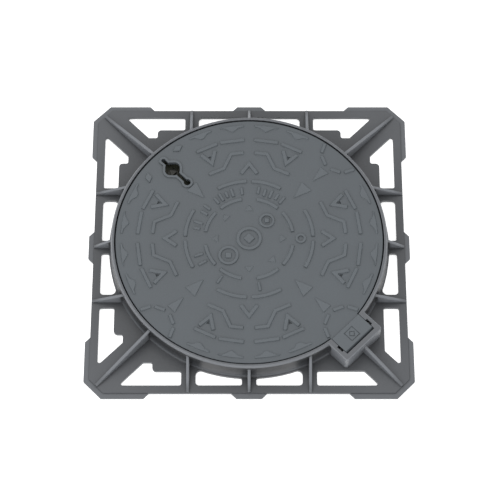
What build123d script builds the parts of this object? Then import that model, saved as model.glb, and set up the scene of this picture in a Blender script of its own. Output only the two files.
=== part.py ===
from build123d import *
import math
import os

# Square-framed round access cover in cast iron, mm, +Z up.
# Origin at the centre of the frame's underside. The hinge is on the +X -Y
# diagonal and the keyhole on the -X +Y diagonal.

# ---------------------------------------------------------------- dimensions
HEIGHT = 60.0               # underside of the frame to the walking surface
HALF = 392.5                # half of the outer square, to the tabs
TAB_DEPTH = 12.5            # how far the sides step back between the tabs
CORNER_CUT = 42.0           # leg of the 45 degree corner chamfer
CORNER_TAB = 250.0          # where a corner tab ends along a side
MID_TAB = 30.0              # half width of the tab at the middle of a side
BAND_T = 6.0                # thickness of the outer edge band
FLANGE_T = 9.0              # thickness of the flange inside the band
CLEAR_R = 300.0             # clear opening
SEAT_Z = 12.0               # top of the seat ledge
WALL_R = 327.0              # inside of the ring wall
RING_OUT = 332.0            # outside of the ring wall at the top
RING_FOOT = 337.5           # outside of the ring wall at the bottom
RIB_T = 7.0                 # thickness of the frame ribs
RIB_TOP = 50.0              # height of the ribs where they meet the ring
RIB_END = 13.0              # height of the ribs at the edge of the frame

PLATE_Z = 57.0              # top of the cover plate, under the raised pattern
PLATE_T = 8.0
COVER_R = 324.2             # rim of the cover at the top
COVER_FOOT_R = 322.2        # rim of the cover at the bottom, from the draft
SKIRT_IN = 308.0            # inside of the cover's skirt
COVER_Z = 18.0              # underside of the skirt, on the gasket
BAR_W = 6.8                 # width of a raised bar on its top
DRAFT = 2.0                 # how far its sides slope out, down to the plate

GASKET_IN = 305.0
GASKET_OUT = 323.0
GROOVE_Z = 10.0

PIN_U = 355.7               # hinge axis, distance from the centre
PIN_Z = 45.0
PIN_R = 8.5
FIT = 0.08                  # radial clearance round the hinge pin
PIN_HALF = 50.8
CLIP_V = 43.6               # circlips, either side of the middle of the pin
HINGE_SHIFT = -3.0          # the hinge lies this far off the diagonal
LUG_HALF = 45.0
LUG_END = 373.5
LUG_STEP = 325.0            # where the lug steps up from the plate
LUG_SWING = 20.2            # the lug's nose turns inside this radius
BOX_IN_HALF = 46.3
BOX_OUT_HALF = 60.0
BOX_IN_END = 376.2
BOX_OUT_END = 389.0
SLOT_HALF = 51.4

KEY_R = 267.0               # centre of the keyhole's big rounded square
KEY_BIG = 18.0              # half width of the square part of the keyhole
KEY_ROUND = 13.0            # its corner radius
KEY_SMALL_R = 215.0
KEY_SMALL = 8.5
KEY_TIP_R = 299.0
KEY_TIP = 5.3
KEY_SLOT_HALF = 4.5
PAD_Z = 43.0                # underside of the thick pad round the keyhole
POCKET_FLANGE = 3.0
POCKET_FLOOR_Z = 25.0
CAM_Z = 20.0
CAM_T = 4.0
CAM_LEN = 64.0
CAM_HALF = 11.0
BOLT_P = (236.0, 288.0)
BOLT_Q = 37.0

HINGE_TURN = -45.0
KEY_TURN = 135.0
TURNS = (0, 90, 180, 270)


# ------------------------------------------------------------------- helpers
def poly(points):
    return Polygon(*points, align=None)


def prism(face, low, high):
    return Pos(0, 0, low) * extrude(face, amount=high - low, dir=(0, 0, 1))


def cyl(radius, low, high, x=0.0, y=0.0):
    return Pos(x, y, (low + high) / 2) * Cylinder(radius, high - low)


def block(x0, x1, y0, y1, z0, z1):
    size = Box(x1 - x0, y1 - y0, z1 - z0)
    return Pos((x0 + x1) / 2, (y0 + y1) / 2, (z0 + z1) / 2) * size


def rounded(face, radius, keep=None):
    corners = face.vertices()
    if keep is not None:
        corners = [v for v in corners if keep(v.X, v.Y)]
    return fillet(corners, radius)


def at_points(points):
    # Picks out the corners of a face that lie at the given points.
    return lambda x, y: any(math.hypot(x - a, y - b) < 0.3 for a, b in points)


def upright(points, half):
    # A profile drawn in X and Z, given a thickness along Y.
    return extrude(Plane.XZ * poly(points), amount=half, both=True)


def spin(shape, angle):
    return Rot(0, 0, angle) * shape


def at_hinge_corner(shape):
    # From the hinge's own axes, with X outward and Y along the pin.
    return spin(Pos(0, HINGE_SHIFT, 0) * shape, HINGE_TURN)


def turn_point(x, y, angle):
    a = math.radians(angle)
    return (x * math.cos(a) - y * math.sin(a), x * math.sin(a) + y * math.cos(a))


def eightfold(points):
    # The eight images of a polyline under the symmetry of a square.
    images = []
    for angle in TURNS:
        images.append([turn_point(x, y, angle) for x, y in points])
        images.append([turn_point(-x, y, angle) for x, y in points])
    return images


def offset_line(points, half):
    # The outline of a mitred stroke along a polyline.
    left = []
    right = []
    last = len(points) - 1
    for i, (x, y) in enumerate(points):
        x0, y0 = points[max(i - 1, 0)]
        x1, y1 = points[min(i + 1, last)]
        if i in (0, last):
            length = math.hypot(x1 - x0, y1 - y0)
            nx, ny = -(y1 - y0) / length, (x1 - x0) / length
            ex, ey = ny * half * 0.5, -nx * half * 0.5
            sign = -1 if i == 0 else 1
            bx, by = x + sign * ex, y + sign * ey
            left.append((bx + nx * half, by + ny * half))
            right.append((bx - nx * half, by - ny * half))
            continue
        a = math.hypot(x - x0, y - y0)
        b = math.hypot(x1 - x, y1 - y)
        n0 = (-(y - y0) / a, (x - x0) / a)
        n1 = (-(y1 - y) / b, (x1 - x) / b)
        mx, my = n0[0] + n1[0], n0[1] + n1[1]
        k = half * 2 / (mx * mx + my * my)
        left.append((x + mx * k, y + my * k))
        right.append((x - mx * k, y - my * k))
    return left + right[::-1]


def frustum(low_points, high_points, low, high):
    # A solid with sloping sides between two outlines with matching corners.
    n = len(low_points)
    base = [(x, y, low) for x, y in low_points]
    top = [(x, y, high) for x, y in high_points]
    faces = [Face(Wire.make_polygon(base, close=True))]
    faces.append(Face(Wire.make_polygon(top, close=True)))
    for i in range(n):
        j = (i + 1) % n
        ring = [base[i], base[j], top[j], top[i]]
        faces.append(Face(Wire.make_polygon(ring, close=True)))
    return Solid(Shell(faces))


RELIEF_LOW = PLATE_Z - 0.5


def bar(points, width=BAR_W, top=HEIGHT):
    low = offset_line(points, width / 2 + DRAFT)
    high = offset_line(points, width / 2)
    return frustum(low, high, RELIEF_LOW, top)


def grown(points, amount):
    # A convex outline moved outward by the same amount on every side.
    area = 0.0
    n = len(points)
    for i in range(n):
        x0, y0 = points[i]
        x1, y1 = points[(i + 1) % n]
        area += x0 * y1 - x1 * y0
    turn = 1.0 if area > 0 else -1.0
    out = []
    for i in range(n):
        x0, y0 = points[i - 1]
        x, y = points[i]
        x1, y1 = points[(i + 1) % n]
        a = math.hypot(x - x0, y - y0)
        b = math.hypot(x1 - x, y1 - y)
        n0 = (turn * (y - y0) / a, -turn * (x - x0) / a)
        n1 = (turn * (y1 - y) / b, -turn * (x1 - x) / b)
        mx, my = n0[0] + n1[0], n0[1] + n1[1]
        k = amount * 2 / (mx * mx + my * my)
        out.append((x + mx * k, y + my * k))
    return out


def pad(points, top=HEIGHT, draft=1.2):
    # A raised flat-topped patch with sloping sides.
    return frustum(grown(points, draft), points, RELIEF_LOW, top)


def arc_bar(radius, start, end, width=BAR_W):
    h0 = width / 2 + DRAFT
    h1 = width / 2
    shape = [
        (radius - h0, RELIEF_LOW),
        (radius + h0, RELIEF_LOW),
        (radius + h1, HEIGHT),
        (radius - h1, HEIGHT),
    ]
    profile = Plane.XZ * poly(shape)
    return spin(revolve(profile, axis=Axis.Z, revolution_arc=end - start), start)


# ------------------------------------------------------------- frame casting
def side_outline(half, depth, cut, corner, mid):
    # One side of the outline, along +Y, from left to right.
    low = half - depth
    return [
        (-(half - cut), half),
        (-corner, half),
        (-(corner - depth), low),
        (-(mid + depth), low),
        (-mid, half),
        (mid, half),
        (mid + depth, low),
        (corner - depth, low),
        (corner, half),
        (half - cut, half),
    ]


def frame_casting():
    outline = []
    for angle in (0, -90, -180, -270):
        side = side_outline(HALF, TAB_DEPTH, CORNER_CUT, CORNER_TAB, MID_TAB)
        outline += [turn_point(x, y, angle) for x, y in side]
    band = rounded(poly(outline), 2.0)
    inner = HALF - TAB_DEPTH
    reach = 2 * HALF - CORNER_CUT - TAB_DEPTH * math.sqrt(2) - inner
    inside = []
    for angle in (0, -90, -180, -270):
        ends = [(-reach, inner), (reach, inner)]
        inside += [turn_point(x, y, angle) for x, y in ends]
    flange = prism(band, 0, BAND_T) + prism(poly(inside), 0, FLANGE_T)

    # Openings between the webs: two beside each middle web, and one each side
    # of every corner web, which is plain on the hinge corner.
    near = poly([(17, 361), (127, 361), (127, 322.7), (113, 322.7), (17, 300)])
    near = near - Circle(342.0)
    near = rounded(near, 12.0, at_points([(127, 322.7)]))
    near = rounded(near, 9.0, at_points([(127, 361)]))
    near = rounded(near, 5.0, at_points([(17, 361), (17, 341.6), (113.3, 322.7)]))
    notched = [(161, 361), (161, 324.5), (230, 324.5), (230, 302)]
    notched += [(252, 302), (311, 361)]
    plain = [(161, 361), (161, 323.5), (273.5, 323.5), (311, 361)]
    cuts = []
    for angle in TURNS:
        for flip in (False, True):
            face = mirror(near, Plane.YZ) if flip else near
            cuts.append(spin(prism(face, -1, 20), angle))
            # The hinge corner takes the right end of the lower side and the
            # lower end of the right side.
            at_hinge = (angle == 180 and flip) or (angle == 270 and not flip)
            if at_hinge:
                far = rounded(poly(plain), 5.0)
            else:
                far = rounded(poly(notched), 9.5, at_points([(230, 324.5)]))
                far = rounded(far, 5.0, at_points(notched))
            face = mirror(far, Plane.YZ) if flip else far
            cuts.append(spin(prism(face, -1, 20), angle))
    flange = flange - cuts

    wall = [
        (CLEAR_R - 5, 0),
        (RING_FOOT + 3.5, 0),
        (RING_FOOT + 3.5, FLANGE_T - 0.5),
        (RING_FOOT, 15),
        (RING_OUT + 3.5, HEIGHT - 6),
        (RING_OUT, HEIGHT),
        (WALL_R, HEIGHT),
        (WALL_R, SEAT_Z),
        (CLEAR_R - 5, SEAT_Z),
    ]
    section = poly(wall)
    section = rounded(section, 4.0, lambda x, y: abs(y - HEIGHT + 6) < 0.1)
    section = rounded(section, 1.4, lambda x, y: abs(y - HEIGHT) < 0.1)
    section = rounded(section, 6.0, lambda x, y: abs(y - 15) < 0.1)
    ring = revolve(Plane.XZ * section, axis=Axis.Z)

    parts = []
    for angle in TURNS:
        for offset in (-145.0, 0.0, 145.0):
            foot = math.sqrt(334.0**2 - offset**2) - 2.0
            shape = [(foot, 2), (379, 2), (379, RIB_END), (foot, RIB_TOP)]
            rib = upright(shape, RIB_T / 2)
            top = [e for e in rib.edges() if e.length > 50 and e.center().Z > 12]
            rib = fillet(top, 2.2)
            parts.append(spin(Pos(0, offset, 0) * rib, angle))
    for angle in (45, 135, 225, 315):
        near_u = BOX_OUT_END - 3 if angle == 315 else 332.0
        near_z = 42.0 if angle == 315 else RIB_TOP
        shape = [(near_u, 2), (512, 2), (512, RIB_END + 1), (near_u, near_z)]
        rib = upright(shape, RIB_T / 2 + 0.3)
        top = [e for e in rib.edges() if e.length > 90 and e.center().Z > 12]
        rib = fillet(top, 2.4)
        parts.append(spin(rib, angle))

    # Hinge box on the corner.
    plan = poly([
        (310, -BOX_OUT_HALF),
        (BOX_OUT_END, -BOX_OUT_HALF),
        (BOX_OUT_END, BOX_OUT_HALF),
        (310, BOX_OUT_HALF),
    ])
    plan = rounded(plan, 7.0, lambda x, y: x > 350)
    box = prism(plan, 0, HEIGHT)
    rim = [e for e in box.edges() if e.center().Z > HEIGHT - 0.1 and e.center().X > 330]
    box = fillet(rim, 2.5)
    parts.append(at_hinge_corner(box))

    # Short raised dashes on the webs of the keyhole corner.
    for x, y, angle in ((-214, 283, 8), (-203, 279, 8), (-192, 283, 8),
                        (-289, 197, 96), (-293, 186, 96), (-289, 175, 96)):
        dash = Pos(x, y, FLANGE_T) * Rot(0, 0, angle) * Box(3.0, 9.0, 2.4)
        parts.append(dash)

    body = flange + ring
    body = body + parts
    body = body - cyl(WALL_R, SEAT_Z, HEIGHT + 5)
    body = body - cyl(CLEAR_R, -5, SEAT_Z + 1)
    groove = cyl(GASKET_OUT, GROOVE_Z, SEAT_Z + 1) - cyl(GASKET_IN, GROOVE_Z, SEAT_Z + 1)
    body = body - groove

    room = block(318, BOX_IN_END, -BOX_IN_HALF, BOX_IN_HALF, 17.0, HEIGHT + 5)
    half = PIN_R + FIT
    slots = block(PIN_U - half, PIN_U + half, -SLOT_HALF, SLOT_HALF, PIN_Z, HEIGHT + 5)
    bed = Pos(PIN_U, 0, PIN_Z) * Rot(90, 0, 0) * Cylinder(half, 2 * SLOT_HALF)
    for hollow in (room, slots, bed):
        body = body - at_hinge_corner(hollow)

    # Keeper recess in the ring wall, behind the end of the locking cam.
    recess = block(320, 333.5, -15, 44, COVER_Z + 0.5, CAM_Z + CAM_T + 2.0)
    body = body - spin(recess, KEY_TURN)
    return body


def seat_gasket():
    section = poly([
        (GASKET_IN, GROOVE_Z),
        (GASKET_OUT, GROOVE_Z),
        (GASKET_OUT, COVER_Z - 1),
        (GASKET_OUT - 1, COVER_Z),
        (GASKET_IN + 1, COVER_Z),
        (GASKET_IN, COVER_Z - 1),
    ])
    return revolve(Plane.XZ * section, axis=Axis.Z)


# ------------------------------------------------------------- cover casting
def key_plan(grow):
    side = 2 * (KEY_BIG + grow)
    square = RectangleRounded(side, side, KEY_ROUND + grow)
    face = Pos(KEY_R, 0) * Rot(0, 0, 45) * square
    face = face + Pos(KEY_SMALL_R, 0) * Circle(KEY_SMALL + grow)
    face = face + Pos(KEY_TIP_R, 0) * Circle(KEY_TIP + grow)
    span = KEY_TIP_R - KEY_SMALL_R
    middle = (KEY_TIP_R + KEY_SMALL_R) / 2
    face = face + Pos(middle, 0) * Rectangle(span, 2 * (KEY_SLOT_HALF + grow))
    return face


def pocket_plan(shrink):
    face = Pos(252.5, 0) * Rectangle(104 - 2 * shrink, 46 - 2 * shrink)
    face = face + Pos(KEY_R, 0) * Circle(29 - shrink)
    return face & Circle(306.0 - shrink)


def pad_plan():
    face = Pos(254, 0) * RectangleRounded(116, 96, 12)
    return face & Circle(306.5)


def relief():
    items = []
    eight = [
        ([(-128, 236.2), (-81.5, 258.2)], BAR_W),
        ([(-69.5, 262.2), (-14.5, 269.9)], BAR_W),
        ([(-16, 233.8), (-44.5, 230.3), (-62.3, 190.3), (-96.5, 175)], BAR_W),
        ([(-117, 226.2), (-91.5, 204.2), (-85, 237.3)], 7.4),
    ]
    for line, width in eight:
        for image in eightfold(line):
            items.append(bar(image, width))
    # Low patches along the rim, with a zigzag edge toward the centre.
    rim = [
        [(-146, 272), (-136, 276), (-120, 272), (-113, 275), (-105, 288), (-94, 294),
         (-96, 297), (-122, 287), (-147, 275)],
        [(-72, 302), (-63, 303), (-45, 294), (-40, 293), (-26, 305), (-14, 308),
         (-14, 311), (-42, 308.5), (-71, 303.5)],
    ]
    for patch in rim:
        for image in eightfold(patch):
            items.append(pad(image, HEIGHT - 0.8, 1.6))
    for angle in TURNS:
        chevron = [(-18.2, 178), (0, 203.5), (18.2, 178)]
        items.append(bar([turn_point(x, y, angle) for x, y in chevron], 7.4))
        items.append(arc_bar(155.0, angle + 2.4, angle + 29.5))
        items.append(arc_bar(155.0, angle - 29.5, angle - 2.4))
        items.append(arc_bar(107.0, angle + 10.0, angle + 40.3))
        items.append(arc_bar(107.0, angle - 40.3, angle - 10.0))
    for angle in (45, 135, 225, 315):
        inner = [(156, 0), (199, -15.8), (199, 15.8)]
        outer = [(222, 0), (262, -12), (262, 12)]
        items.append(pad([turn_point(x, y, angle) for x, y in inner], HEIGHT - 1))
        if angle == 135:
            continue
        items.append(pad([turn_point(x, y, angle) for x, y in outer], HEIGHT - 1))
        # A faceted ring made of separate short bars round the corner field.
        cx, cy = turn_point(325.4, 0, angle)
        for near, far in ((11.4, 36.4), (52.2, 77.0), (-36.4, -11.4), (-77.0, -52.2)):
            ends = []
            for a in (near, far):
                px, py = turn_point(50.5, 0, angle + 180 + a)
                ends.append((cx + px, cy + py))
            items.append(bar(ends, 6.2) & cyl(321.5, 0, 80))
    for k in (0, 2, 3, 4, 6, 7):
        small = [(75.5, -9.5), (89, 0), (75.5, 9.5)]
        turned = [turn_point(x, y, 45.0 * k) for x, y in small]
        items.append(pad(turned, HEIGHT - 1.4))
    return items


def vee_pits():
    # A small sloping pit in the inside corner of every V.
    items = []
    for image in eightfold([(-95.6, 216.2), (-102.4, 222.0), (-93.9, 225.0)]):
        items.append(frustum(grown(image, -1.0), grown(image, 0.1), PLATE_Z - 3, PLATE_Z + 0.3))
    return items


def band_marks():
    # Plain raised dashes in the lettering band, and plain marks elsewhere.
    items = []
    angles = [168, 161, 148, 141, 128, 121.5, 115, 108.5, 98, 80, 73, 66, 59, 52]
    for n, angle in enumerate(angles):
        inner = 121.0 if n % 3 else 124.0
        outer = 140.0 if n % 2 else 137.0
        ends = [turn_point(inner, 0, angle), turn_point(outer, 0, angle)]
        items.append(bar(ends, 5.0))
    for angle in (200, 210, 237, 281):
        ends = [turn_point(120, 0, angle), turn_point(139, 0, angle)]
        items.append(bar(ends, 4.5))
    return items


def ring_pad(x, y, radius, width):
    h0 = width / 2 + 0.8
    h1 = width / 2
    shape = [
        (radius - h0, RELIEF_LOW),
        (radius + h0, RELIEF_LOW),
        (radius + h1, HEIGHT),
        (radius - h1, HEIGHT),
    ]
    return Pos(x, y, 0) * revolve(Plane.XZ * poly(shape), axis=Axis.Z)


def lozenge(x, y, a, b, angle=0.0):
    points = [turn_point(px, py, angle) for px, py in ((a, 0), (0, b), (-a, 0), (0, -b))]
    return [(x + px, y + py) for px, py in points]


def centre_marks():
    items = []
    items.append(ring_pad(0, 0, 27, 7.0))
    items.append(pad(lozenge(0, 0, 13, 13, 0)))
    items.append(ring_pad(43, 48, 16, 5.0))
    items.append(pad(lozenge(43, 48, 7, 7, 45)))
    items.append(ring_pad(-50, -45, 21.5, 6.0))
    items.append(pad(lozenge(-50, -45, 9, 9, 45)))
    items.append(ring_pad(125, 0, 10, 5.0))
    for x, y, angle in ((-177, 246, 35), (-247, 165, 100)):
        items.append(pad(lozenge(x, y, 13, 8, angle)))
    return items


def lug_solid():
    profile = poly([
        (300, 32),
        (300, PLATE_Z),
        (LUG_STEP, PLATE_Z),
        (LUG_STEP, HEIGHT),
        (LUG_END, HEIGHT),
        (LUG_END, 33),
        (LUG_END - 5, 29),
        (330, 29),
    ])
    keep = Pos(PIN_U, PIN_Z) * Circle(LUG_SWING)
    keep = keep + Pos(PIN_U - 50, PIN_Z) * Rectangle(100, 60)
    keep = keep + Pos(PIN_U, PIN_Z - 15) * Rectangle(60, 30)
    profile = profile & keep
    lug = extrude(Plane.XZ * profile, amount=LUG_HALF, both=True)
    bore = Rot(90, 0, 0) * Cylinder(PIN_R + FIT, 2 * LUG_HALF + 2)
    lug = lug - Pos(PIN_U, 0, PIN_Z) * bore
    for side in (-1, 1):
        sink = Rot(90, 0, 0) * Cylinder(13.0, 6.0)
        lug = lug - Pos(PIN_U, side * (LUG_HALF + 0.2), PIN_Z) * sink
    return lug


def cover_casting():
    section = [
        (0, PLATE_Z - PLATE_T),
        (SKIRT_IN - 6, PLATE_Z - PLATE_T),
        (SKIRT_IN, PLATE_Z - PLATE_T - 6),
        (SKIRT_IN, COVER_Z),
        (COVER_FOOT_R, COVER_Z),
        (COVER_R, PLATE_Z - 1.2),
        (COVER_R - 1.2, PLATE_Z),
        (0, PLATE_Z),
    ]
    body = revolve(Plane.XZ * poly(section), axis=Axis.Z)
    stiff = []
    for k in range(8):
        angle = 45.0 * k
        reach = 196.0 if angle == KEY_TURN else SKIRT_IN + 1
        shape = [(0, 34), (120, 28), (reach, 28), (reach, 50), (0, 50)]
        stiff.append(spin(upright(shape, 4.5), angle))
    for radius in (95.0, 185.0):
        hoop = cyl(radius + 4.5, 31, 50) - cyl(radius - 4.5, 31, 50)
        stiff.append(hoop)
    stiff.append(spin(prism(pad_plan(), PAD_Z, PLATE_Z - PLATE_T + 0.5), KEY_TURN))
    stiff.append(spin(prism(key_plan(5.6) & Circle(317), RELIEF_LOW, HEIGHT), KEY_TURN))
    stiff.append(at_hinge_corner(lug_solid()))
    body = body + stiff
    body = body + (relief() + band_marks() + centre_marks())
    body = body - vee_pits()
    # A plain square with a square turned inside it is sunk in the lug.
    mark = Rectangle(28, 28) - Rectangle(24, 24)
    mark = mark + Rot(0, 0, 45) * (Rectangle(13, 13) - Rectangle(9, 9))
    sunk = Pos(348.5, -1.5, 0) * prism(mark, HEIGHT - 1.2, HEIGHT + 1)
    body = body - at_hinge_corner(sunk)

    body = body - spin(prism(key_plan(0), PAD_Z - 1, HEIGHT + 2), KEY_TURN)
    body = body - spin(prism(pocket_plan(2.5), PAD_Z - 1, PLATE_Z - PLATE_T), KEY_TURN)
    for p in BOLT_P:
        for q in (-BOLT_Q, BOLT_Q):
            body = body - spin(cyl(4.0, PAD_Z - 1, 53, p, q), KEY_TURN)
    # The cam swings out through this gap in the skirt.
    gate = block(296, 330, -15, 59, COVER_Z - 1, CAM_Z + CAM_T + 3)
    body = body - spin(gate, KEY_TURN)
    return body


# ------------------------------------------------------------ hinge hardware
def hinge_pin():
    pin = Rot(90, 0, 0) * Cylinder(PIN_R, 2 * PIN_HALF)
    pin = chamfer(pin.edges(), 1.0)
    groove = Rot(90, 0, 0) * (Cylinder(PIN_R + 1, 1.4) - Cylinder(7.7, 1.4))
    for side in (-1, 1):
        pin = pin - Pos(0, side * CLIP_V, 0) * groove
    return at_hinge_corner(Pos(PIN_U, 0, PIN_Z) * pin)


def pin_circlips():
    rings = []
    for side in (-1, 1):
        ring = Cylinder(11.2, 1.2) - Cylinder(7.8, 3)
        ring = ring - Pos(0, -9, 0) * Box(9, 10, 4)
        ring = Pos(PIN_U, side * CLIP_V, PIN_Z) * Rot(90, 0, 0) * ring
        rings.append(at_hinge_corner(ring))
    return Compound(children=[r.solids()[0] for r in rings])


# ------------------------------------------------------- key pocket and lock
def bolt_places():
    return [(p, q) for p in BOLT_P for q in (-BOLT_Q, BOLT_Q)]


FLANGE_LOW = PAD_Z - 1.0 - POCKET_FLANGE


def key_pocket():
    body = prism(pad_plan(), FLANGE_LOW, PAD_Z - 1.0)
    body = body + prism(pocket_plan(0), POCKET_FLOOR_Z, FLANGE_LOW + 1)
    body = body + cyl(16, POCKET_FLOOR_Z, POCKET_FLOOR_Z + 5, KEY_R)
    hollow = prism(pocket_plan(3), POCKET_FLOOR_Z + 3, PAD_Z)
    hollow = hollow - cyl(16, POCKET_FLOOR_Z, POCKET_FLOOR_Z + 5, KEY_R)
    body = body - hollow
    body = body - cyl(BUSH_R, POCKET_FLOOR_Z - 1, POCKET_FLOOR_Z + 8, KEY_R)
    for p, q in bolt_places():
        body = body - cyl(4.4, FLANGE_LOW - 1, PAD_Z, p, q)
    return spin(body, KEY_TURN)


def pocket_gasket():
    face = pad_plan() - pocket_plan(2)
    for p, q in bolt_places():
        face = face - Pos(p, q) * Circle(4.4)
    return spin(prism(face, PAD_Z - 1.0, PAD_Z), KEY_TURN)


def pocket_bolts():
    out = []
    for p, q in bolt_places():
        head = Pos(p, q, 0) * prism(RegularPolygon(7.5, 6), FLANGE_LOW - 6.9, FLANGE_LOW - 1.6)
        bolt = head + cyl(3.9, FLANGE_LOW - 2, 52, p, q)
        out.append(spin(bolt, KEY_TURN).solids()[0])
    return Compound(children=out)


def pocket_washers():
    out = []
    for p, q in bolt_places():
        ring = cyl(8.0, FLANGE_LOW - 1.6, FLANGE_LOW, p, q)
        ring = ring - cyl(4.3, FLANGE_LOW - 2, FLANGE_LOW + 1, p, q)
        out.append(spin(ring, KEY_TURN).solids()[0])
    return Compound(children=out)


SPINDLE_R = 6.8
BUSH_R = 8.2
BUSH_TOP = POCKET_FLOOR_Z + 6.0
SEAL_TOP = BUSH_TOP + 1.5


def spindle_bush():
    body = cyl(BUSH_R, POCKET_FLOOR_Z, BUSH_TOP, KEY_R)
    body = body + cyl(13, POCKET_FLOOR_Z + 5, BUSH_TOP, KEY_R)
    body = body - cyl(SPINDLE_R + 0.05, POCKET_FLOOR_Z - 1, BUSH_TOP + 1, KEY_R)
    return spin(body, KEY_TURN)


def spindle_seal():
    body = cyl(12, BUSH_TOP, SEAL_TOP, KEY_R) - cyl(SPINDLE_R + 0.3, BUSH_TOP - 1, SEAL_TOP + 1, KEY_R)
    return spin(body, KEY_TURN)


def lock_spindle():
    body = cyl(SPINDLE_R, CAM_Z + CAM_T + 0.5, SEAL_TOP + 1, KEY_R)
    body = body + cyl(13.0, SEAL_TOP, SEAL_TOP + 3, KEY_R)
    head = rounded(RegularPolygon(11.5, 3), 2.0)
    body = body + Pos(KEY_R, 0, 0) * prism(head, SEAL_TOP + 2, SEAL_TOP + 9)
    tail = Pos(KEY_R, 0, 0) * prism(Rectangle(9.2, 9.2), CAM_Z, CAM_Z + CAM_T + 1)
    body = body + tail + cyl(4.0, SEAT_Z + 0.6, CAM_Z + 1, KEY_R)
    return spin(body, KEY_TURN)


def lock_cam():
    # At rest the cam lies along the skirt, unlocked.
    face = Pos(KEY_R, CAM_LEN / 2) * Rectangle(2 * CAM_HALF, CAM_LEN)
    face = rounded(face, 3.0, lambda x, y: y > 10)
    face = face + Pos(KEY_R, 0) * Circle(14)
    face = face - Pos(KEY_R, 0) * Rectangle(9.3, 9.3)
    return spin(prism(face, CAM_Z, CAM_Z + CAM_T), KEY_TURN)


def cam_washer():
    body = cyl(10.0, CAM_Z - 1.6, CAM_Z, KEY_R) - cyl(4.2, CAM_Z - 3, CAM_Z + 1, KEY_R)
    return spin(body, KEY_TURN)


def cam_nut():
    face = Pos(KEY_R, 0) * (RegularPolygon(8.0, 6) - Circle(4.05))
    return spin(prism(face, CAM_Z - 6.6, CAM_Z - 1.6), KEY_TURN)


NODES = {
    "frame_casting": frame_casting,
    "seat_gasket": seat_gasket,
    "cover_casting": cover_casting,
    "hinge_pin": hinge_pin,
    "pin_circlips": pin_circlips,
    "key_pocket": key_pocket,
    "pocket_gasket": pocket_gasket,
    "pocket_bolts": pocket_bolts,
    "pocket_washers": pocket_washers,
    "spindle_bush": spindle_bush,
    "spindle_seal": spindle_seal,
    "lock_spindle": lock_spindle,
    "lock_cam": lock_cam,
    "cam_washer": cam_washer,
    "cam_nut": cam_nut,
}

os.makedirs("parts", exist_ok=True)
for name, make in NODES.items():
    shape = make()
    shape.label = name
    export_step(shape, "parts/" + name + ".step")
    print(name, len(shape.solids()), round(shape.volume))
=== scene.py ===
import math

import bpy
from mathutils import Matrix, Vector

# The look of the square-framed round access cover: coated castings, the small
# parts of the hinge and the lock, a pale floor, soft light and the camera.
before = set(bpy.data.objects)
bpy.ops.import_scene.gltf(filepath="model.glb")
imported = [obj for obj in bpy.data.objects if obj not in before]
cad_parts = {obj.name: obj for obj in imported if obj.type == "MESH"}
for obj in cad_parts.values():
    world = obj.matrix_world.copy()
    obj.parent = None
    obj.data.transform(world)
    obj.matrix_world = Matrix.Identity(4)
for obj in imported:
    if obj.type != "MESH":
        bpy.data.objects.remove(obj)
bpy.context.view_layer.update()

# ------------------------------------------------------------------ camera
ELEVATION = math.radians(65.06)
DISTANCE = 4.5757                     # metres, from the middle of the bed
FOCAL_SHARE = 1868.4 / 500            # focal length as a share of the picture's side
SHIFT_X, SHIFT_Y = 0.00207, -0.00348  # metres, how far right and up the camera sits
SENSOR = 36.0                         # millimetres


def make_camera():
    """A level camera in front of the cover, looking down at it."""
    sin_e, cos_e = math.sin(ELEVATION), math.cos(ELEVATION)
    cam = bpy.data.objects.new("camera", bpy.data.cameras.new("camera"))
    cam.location = (
        SHIFT_X,
        SHIFT_Y * sin_e - DISTANCE * cos_e,
        SHIFT_Y * cos_e + DISTANCE * sin_e,
    )
    cam.rotation_euler = (math.pi / 2 - ELEVATION, 0, 0)
    cam.data.sensor_width = SENSOR
    cam.data.lens = SENSOR * FOCAL_SHARE
    cam.data.clip_end = 50
    bpy.context.scene.collection.objects.link(cam)
    bpy.context.scene.camera = cam


# --------------------------------------------------------------- materials
# Where the coating's painted shade, painted highlights and worn tops change: heights
# above the bed and distances from the middle, in metres, and how far up a face looks
# (0 on a wall, 1 on a level top). Each is a pair, the start and the end of a soft step.
BAND_TOP = (0.0065, 0.0085)
FLANGE_TOP = (0.0092, 0.0135)
RIB_FOOT = (0.0105, 0.014)
RIB_RISE = (0.016, 0.024)
WALL_FOOT = (0.012, 0.035)
WALL_TOP = (0.052, 0.056)
# Edges above this height are painted lighter, as rubbed wear and painted highlight.
RUB_AND_HIGHLIGHT_HEIGHT = (0.02, 0.045)
PATTERN_TOP = (0.0582, 0.0588)
RING_SHOULDER = (0.337, 0.345)
RING_FOOT = (0.3415, 0.3435)
RIB_INNER_END = (0.342, 0.348)
FLANGE_REACH = (0.35, 0.47)
STEEP = (0.15, 0.45)
RIB_SIDE = (0.1, 0.4)
TILTED = (0.2, 0.4)
NEARLY_LEVEL = (0.998, 0.984)

RISING = (0.0, 1.0)
FALLING = (1.0, 0.0)


def shade(colour, share):
    return tuple(c * share for c in colour)


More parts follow.
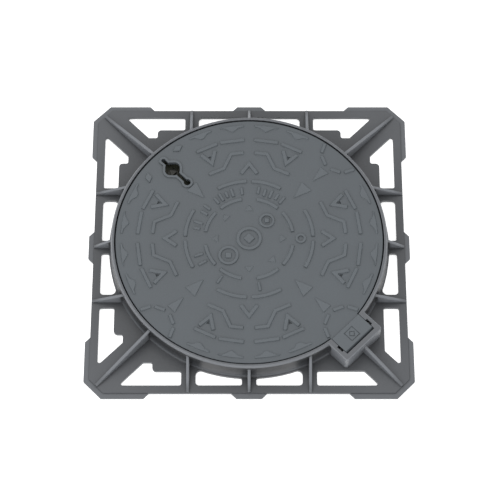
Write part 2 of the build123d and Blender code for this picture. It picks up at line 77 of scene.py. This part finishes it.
class Nodes:
    """Short names for building a node tree."""

    def __init__(self, name):
        self.mat = bpy.data.materials.new(name)
        self.mat.use_nodes = True
        self.tree = self.mat.node_tree
        self.tree.nodes.clear()
        self.out = self.add("ShaderNodeOutputMaterial")
        self.bsdf = self.add("ShaderNodeBsdfPrincipled")
        self.link(self.bsdf.outputs[0], self.out.inputs[0])
        self.place = self.add("ShaderNodeTexCoord").outputs["Object"]

    def add(self, kind, **values):
        node = self.tree.nodes.new(kind)
        for key, value in values.items():
            setattr(node, key, value)
        return node

    def link(self, a, b):
        self.tree.links.new(a, b)

    def noise(self, scale, detail=4.0, rough=0.55):
        node = self.add("ShaderNodeTexNoise")
        node.inputs["Scale"].default_value = scale
        node.inputs["Detail"].default_value = detail
        node.inputs["Roughness"].default_value = rough
        self.link(self.place, node.inputs["Vector"])
        return node.outputs["Fac"]

    def spread(self, value, low, high, to_low=0.0, to_high=1.0):
        node = self.add("ShaderNodeMapRange")
        node.inputs["From Min"].default_value = low
        node.inputs["From Max"].default_value = high
        node.inputs["To Min"].default_value = to_low
        node.inputs["To Max"].default_value = to_high
        self.link(value, node.inputs["Value"])
        return node.outputs[0]

    def math(self, op, a, b):
        node = self.add("ShaderNodeMath", operation=op)
        for socket, value in zip(node.inputs, (a, b)):
            if isinstance(value, (int, float)):
                socket.default_value = value
            else:
                self.link(value, socket)
        return node.outputs[0]

    def product(self, first, *others):
        for other in others:
            first = self.math("MULTIPLY", first, other)
        return first

    def step(self, value, place, change=RISING):
        """A soft step from change[0] to change[1] over the pair place."""
        return self.spread(value, *place, *change)

    def mix(self, factor, a, b, blend="MIX"):
        node = self.add("ShaderNodeMix", data_type="RGBA", blend_type=blend)
        if isinstance(factor, (int, float)):
            node.inputs["Factor"].default_value = factor
        else:
            self.link(factor, node.inputs["Factor"])
        for name, value in (("A", a), ("B", b)):
            socket = [s for s in node.inputs if s.name == name and s.type == "RGBA"][0]
            if isinstance(value, tuple):
                socket.default_value = (*value, 1.0)
            else:
                self.link(value, socket)
        return [s for s in node.outputs if s.type == "RGBA"][0]

    def bump(self, height, strength, distance, below=None):
        node = self.add("ShaderNodeBump")
        node.inputs["Strength"].default_value = strength
        node.inputs["Distance"].default_value = distance
        self.link(height, node.inputs["Height"])
        if below is not None:
            self.link(below, node.inputs["Normal"])
        return node.outputs[0]

    def soft_edges(self, radius):
        node = self.add("ShaderNodeBevel", samples=6)
        node.inputs["Radius"].default_value = radius
        return node.outputs[0]

    def height(self):
        node = self.add("ShaderNodeSeparateXYZ")
        self.link(self.place, node.inputs[0])
        return node.outputs["Z"]

    def radius(self):
        flat = self.add("ShaderNodeVectorMath", operation="MULTIPLY")
        flat.inputs[1].default_value = (1, 1, 0)
        self.link(self.place, flat.inputs[0])
        node = self.add("ShaderNodeVectorMath", operation="LENGTH")
        self.link(flat.outputs[0], node.inputs[0])
        return node.outputs["Value"]

    def facing_up(self):
        node = self.add("ShaderNodeSeparateXYZ")
        self.link(self.add("ShaderNodeTexCoord").outputs["Normal"], node.inputs[0])
        return node.outputs["Z"]

    def turned(self, normal):
        """How far a softened normal has turned from the face's own, from 0 to 1."""
        own = self.add("ShaderNodeNewGeometry").outputs["True Normal"]
        dot = self.add("ShaderNodeVectorMath", operation="DOT_PRODUCT")
        self.link(normal, dot.inputs[0])
        self.link(own, dot.inputs[1])
        return self.spread(dot.outputs["Value"], 0.995, 0.9, 0.0, 1.0)

    def hollows(self, distance):
        node = self.add("ShaderNodeAmbientOcclusion", samples=8)
        node.inputs["Distance"].default_value = distance
        return node.outputs["AO"]


def iron(name, colour, low_share, worn, shoulder, rough, grain):
    """Coated cast iron: cast grain, uneven coating, rubbed edges, painted highlights and
    shade.

    low_share is the painted shade on the flange, as a share of the coating's colour.
    worn is how much lighter the raised pattern's tops are, where feet reach them.
    shoulder is how strongly the ribs' sides and the sloping shoulders get a painted
    highlight and the ring's wall a painted shade: 0 leaves all of them out.
    """
    n = Nodes(name)
    height, radius, slope = n.height(), n.radius(), n.facing_up()
    cloud = n.spread(n.noise(7, detail=6, rough=0.6), 0.3, 0.7)
    fine = n.spread(n.noise(240, detail=3), 0.3, 0.7)
    base = n.mix(cloud, shade(colour, 0.93), shade(colour, 1.07))
    speck = n.spread(n.noise(520, detail=2), 0.62, 0.74, 0.0, 0.22)
    base = n.mix(speck, base, shade(colour, 1.5))

    # Painted shade: the flange is darker than the band outside it, the rib tops and the
    # ring.
    flange_shade = n.step(radius, FLANGE_REACH, (low_share, min(1.0, low_share + 0.2)))
    flange_shade = n.math("ADD", flange_shade, n.step(height, FLANGE_TOP))
    flange_shade = n.math("ADD", flange_shade, n.step(height, BAND_TOP, FALLING))
    flange_shade = n.math("MINIMUM", flange_shade, 1.0)
    # The raised pattern's tops are worn lighter, on top of the painted shade.
    flange_shade_and_wear = n.product(flange_shade, n.step(height, PATTERN_TOP, (1.0, worn)))
    base = n.mix(1.0, base, flange_shade_and_wear, "MULTIPLY")

    # Painted shade: hollows are darkened by ambient occlusion.
    hollow_shade = n.spread(n.hollows(0.008), 0.3, 0.9, 0.55, 1.0)
    base = n.mix(1.0, base, hollow_shade, "MULTIPLY")

    # Painted shade: the ring's outer wall is darkened, most of all under its shoulder.
    wall_shade = n.product(
        n.step(slope, STEEP, FALLING),
        n.step(radius, RING_FOOT, FALLING),
        n.step(height, WALL_TOP, FALLING),
        n.step(height, WALL_FOOT, (0.3, 1.0)),
        2.1 * shoulder,
    )
    base = n.mix(wall_shade, base, shade(colour, 0.1))

    # Painted highlight: sloping shoulders are painted light, and the ribs' sides a
    # little.
    sloping_highlight = n.product(
        n.step(slope, TILTED),
        n.step(slope, NEARLY_LEVEL),
        n.step(height, RIB_RISE),
        n.step(radius, RING_SHOULDER, (0.9 * shoulder, 1.4 * shoulder)),
    )
    base = n.mix(sloping_highlight, base, shade(colour, 2.0))
    # Painted light on the ribs' steep sides.
    rib_side_light = n.product(
        n.step(slope, RIB_SIDE, FALLING),
        n.step(radius, RIB_INNER_END),
        n.step(height, RIB_FOOT, (0.0, 2.0 * shoulder)),
    )
    base = n.mix(rib_side_light, base, shade(colour, 1.5))

    # Edges that feet and tyres reach are painted a little lighter,
    # as rubbed wear and as a painted highlight.
    edge = n.soft_edges(0.0018)
    patches = n.spread(n.noise(60), 0.35, 0.6)
    rub_and_highlight = n.product(n.turned(edge), patches, n.step(height, RUB_AND_HIGHLIGHT_HEIGHT))
    base = n.mix(rub_and_highlight, base, shade(colour, 1.55))
    n.link(base, n.bsdf.inputs["Base Color"])

    shine = n.math("SUBTRACT", rough, n.math("MULTIPLY", rub_and_highlight, 0.12))
    patchy = n.math("ADD", shine, n.spread(cloud, 0.0, 1.0, -0.05, 0.05))
    n.link(patchy, n.bsdf.inputs["Roughness"])
    n.bsdf.inputs["Metallic"].default_value = 0.0
    n.bsdf.inputs["Specular IOR Level"].default_value = 0.5
    coarse = n.bump(n.noise(75), 0.2 * grain, 0.002, edge)
    n.link(n.bump(fine, 0.12 * grain, 0.0008, coarse), n.bsdf.inputs["Normal"])
    return n.mat


def steel(name, colour, rough):
    """Turned or plated steel and brass: a fine uneven gloss and soft edges."""
    n = Nodes(name)
    streak = n.noise(300, detail=3, rough=0.6)
    cloud = n.noise(25)
    base = n.mix(n.spread(cloud, 0.35, 0.7), shade(colour, 0.8), colour)
    n.link(base, n.bsdf.inputs["Base Color"])
    n.bsdf.inputs["Metallic"].default_value = 1.0
    gloss = n.spread(streak, 0.3, 0.7, rough - 0.08, rough + 0.1)
    n.link(gloss, n.bsdf.inputs["Roughness"])
    n.link(n.bump(streak, 0.1, 0.0004, n.soft_edges(0.0005)), n.bsdf.inputs["Normal"])
    return n.mat


def moulded(name, colour, rough, grain_scale):
    """Matt rubber or plastic from a mould."""
    n = Nodes(name)
    cloud = n.noise(30)
    grain = n.noise(grain_scale, detail=2)
    base = n.mix(n.spread(cloud, 0.3, 0.7), shade(colour, 0.8), shade(colour, 1.2))
    n.link(base, n.bsdf.inputs["Base Color"])
    gloss = n.spread(grain, 0.3, 0.7, rough - 0.05, rough + 0.08)
    n.link(gloss, n.bsdf.inputs["Roughness"])
    n.link(n.bump(grain, 0.2, 0.0004, n.soft_edges(0.0006)), n.bsdf.inputs["Normal"])
    return n.mat


def paint(node, material):
    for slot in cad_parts[node].material_slots:
        slot.material = material


def finish_materials():
    """Gives every CAD node its finish."""
    frame_iron = iron(
        "frame_iron", (0.107, 0.1135, 0.124),
        low_share=0.54, worn=1.0, shoulder=0.4, rough=0.46, grain=1.0,
    )
    cover_iron = iron(
        "cover_iron", (0.0835, 0.0955, 0.106),
        low_share=1.0, worn=1.12, shoulder=0.0, rough=0.5, grain=0.8,
    )
    rubber = moulded("seat_rubber", (0.02, 0.02, 0.021), 0.75, 500)
    seal = moulded("seal_rubber", (0.025, 0.025, 0.025), 0.7, 600)
    plastic = moulded("pocket_plastic", (0.05, 0.052, 0.036), 0.55, 700)
    pin = steel("pin_steel", (0.05, 0.05, 0.05), 0.45)
    clip = steel("clip_steel", (0.07, 0.07, 0.07), 0.45)
    zinc = steel("bolt_steel", (0.62, 0.61, 0.57), 0.38)
    lock = steel("lock_steel", (0.06, 0.06, 0.055), 0.5)
    brass = steel("bush_brass", (0.65, 0.48, 0.2), 0.35)
    table = {
        "frame_casting": frame_iron,
        "cover_casting": cover_iron,
        "seat_gasket": rubber,
        "hinge_pin": pin,
        "pin_circlips": clip,
        "key_pocket": plastic,
        "pocket_gasket": seal,
        "pocket_bolts": zinc,
        "pocket_washers": zinc,
        "spindle_bush": brass,
        "spindle_seal": seal,
        "lock_spindle": lock,
        "lock_cam": lock,
        "cam_washer": zinc,
        "cam_nut": zinc,
    }
    for node, material in table.items():
        paint(node, material)


# ------------------------------------------------------------ floor, light
FLOOR_GLOW = 0.6    # keeps the floor an even white round the object
SKY_STRENGTH = 0.9


def make_stage():
    bpy.ops.mesh.primitive_plane_add(size=30, location=(0, 0, 0))
    floor = bpy.context.object
    floor.name = "floor"
    n = Nodes("floor")
    tone = n.spread(n.noise(2, detail=2), 0.3, 0.7)
    n.link(n.mix(tone, (0.9, 0.9, 0.9), (0.92, 0.92, 0.92)), n.bsdf.inputs["Base Color"])
    n.bsdf.inputs["Roughness"].default_value = 0.9
    n.bsdf.inputs["Emission Color"].default_value = (1, 1, 1, 1)
    n.bsdf.inputs["Emission Strength"].default_value = FLOOR_GLOW
    floor.data.materials.append(n.mat)


def sun_light(name, azimuth, elevation, strength, spread):
    """A distant soft light. Azimuth 0 is behind the object, +90 on its left."""
    data = bpy.data.lights.new(name, "SUN")
    data.energy = strength
    data.angle = math.radians(spread)
    lamp = bpy.data.objects.new(name, data)
    a, e = math.radians(azimuth), math.radians(elevation)
    place = Vector((-math.sin(a) * math.cos(e), math.cos(a) * math.cos(e), math.sin(e)))
    lamp.location = place * 4
    lamp.rotation_euler = (-place).to_track_quat("-Z", "Y").to_euler()
    bpy.context.scene.collection.objects.link(lamp)


def area_light(name, place, target, size, power):
    """A round soft light at a place, facing a target."""
    data = bpy.data.lights.new(name, "AREA")
    data.shape = "DISK"
    data.size = size
    data.energy = power
    lamp = bpy.data.objects.new(name, data)
    lamp.location = place
    way = Vector(target) - Vector(place)
    lamp.rotation_euler = way.to_track_quat("-Z", "Y").to_euler()
    bpy.context.scene.collection.objects.link(lamp)


def make_light():
    world = bpy.data.worlds.new("world")
    world.use_nodes = True
    back = world.node_tree.nodes["Background"]
    back.inputs["Color"].default_value = (1, 1, 1, 1)
    back.inputs["Strength"].default_value = SKY_STRENGTH
    bpy.context.scene.world = world
    sun_light("key", azimuth=28, elevation=60, strength=0.46, spread=40)
    area_light("fill", (-1.2, -2.2, 1.8), (0, 0, 0), size=2.0, power=18)
    bpy.context.scene.view_settings.view_transform = "Standard"
    bpy.context.scene.view_settings.look = "None"


make_camera()
make_light()
make_stage()
finish_materials()
